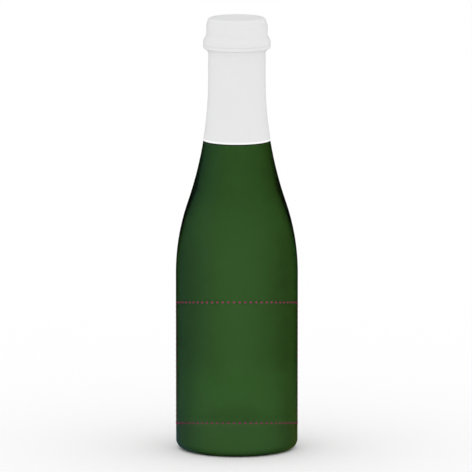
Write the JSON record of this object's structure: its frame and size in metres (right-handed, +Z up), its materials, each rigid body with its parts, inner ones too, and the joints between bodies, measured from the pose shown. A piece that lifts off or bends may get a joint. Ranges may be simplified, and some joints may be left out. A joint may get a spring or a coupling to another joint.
{
  "type": "champagne bottle",
  "caption": "Slim green quarter-size sparkling wine bottle with a punted base, sloping shoulder, cork stopper under a wire hood, and a grey foil capsule.",
  "frame": {"origin": "middle of the flat ring on which the bottle stands", "axes": "+Z up along the bottle's axis, -Y towards the front label, +X to the right seen from the front"},
  "size_m": [0.0572, 0.0571, 0.2033],
  "materials": {
    "green_glass": "polished",
    "wine": "clear",
    "label_film": "clear gloss",
    "agglomerated_cork": "matte",
    "natural_cork": "matte",
    "tinplate": "satin",
    "hood_wire": "satin",
    "capsule_foil": "satin"
  },
  "bodies": {
    "bottle": {"bottle_glass": "green_glass", "wine": "wine", "body_label": "label_film", "capsule_skirt": "capsule_foil"},
    "stopper": {"stopper_body": "agglomerated_cork", "stopper_disc_outer": "natural_cork", "stopper_disc_inner": "natural_cork"},
    "hood": {"cap_plate": "tinplate", "hood_ring": "hood_wire", "hood_leg_front_right": "hood_wire", "hood_leg_back_right": "hood_wire", "hood_leg_back_left": "hood_wire", "hood_leg_front_left": "hood_wire", "hood_belt": "hood_wire", "hood_key": "hood_wire"},
    "capsule_cap": {"tear_strip": "capsule_foil", "capsule_sleeve": "capsule_foil", "capsule_disc": "capsule_foil"},
    "tear_tab": {"tear_tab": "capsule_foil"}
  },
  "joints": [
    {"name": "stopper_pull", "type": "slide", "parent": "bottle", "child": "stopper", "axis": [0, 0, 1], "range_m": [0, 0.04]},
    {"name": "hood_lift", "type": "slide", "parent": "stopper", "child": "hood", "axis": [0, 0, 1], "range_m": [0, 0.03], "deforming": ["hood_belt"]},
    {"name": "capsule_lift", "type": "slide", "parent": "hood", "child": "capsule_cap", "axis": [0, 0, 1], "range_m": [0, 0.04]},
    {"name": "tab_pull", "type": "hinge", "parent": "capsule_cap", "child": "tear_tab", "pos_m": [0, 0.01597, 0.1899], "axis": [1, 0, 0], "range_deg": [0, 120]}
  ]
}
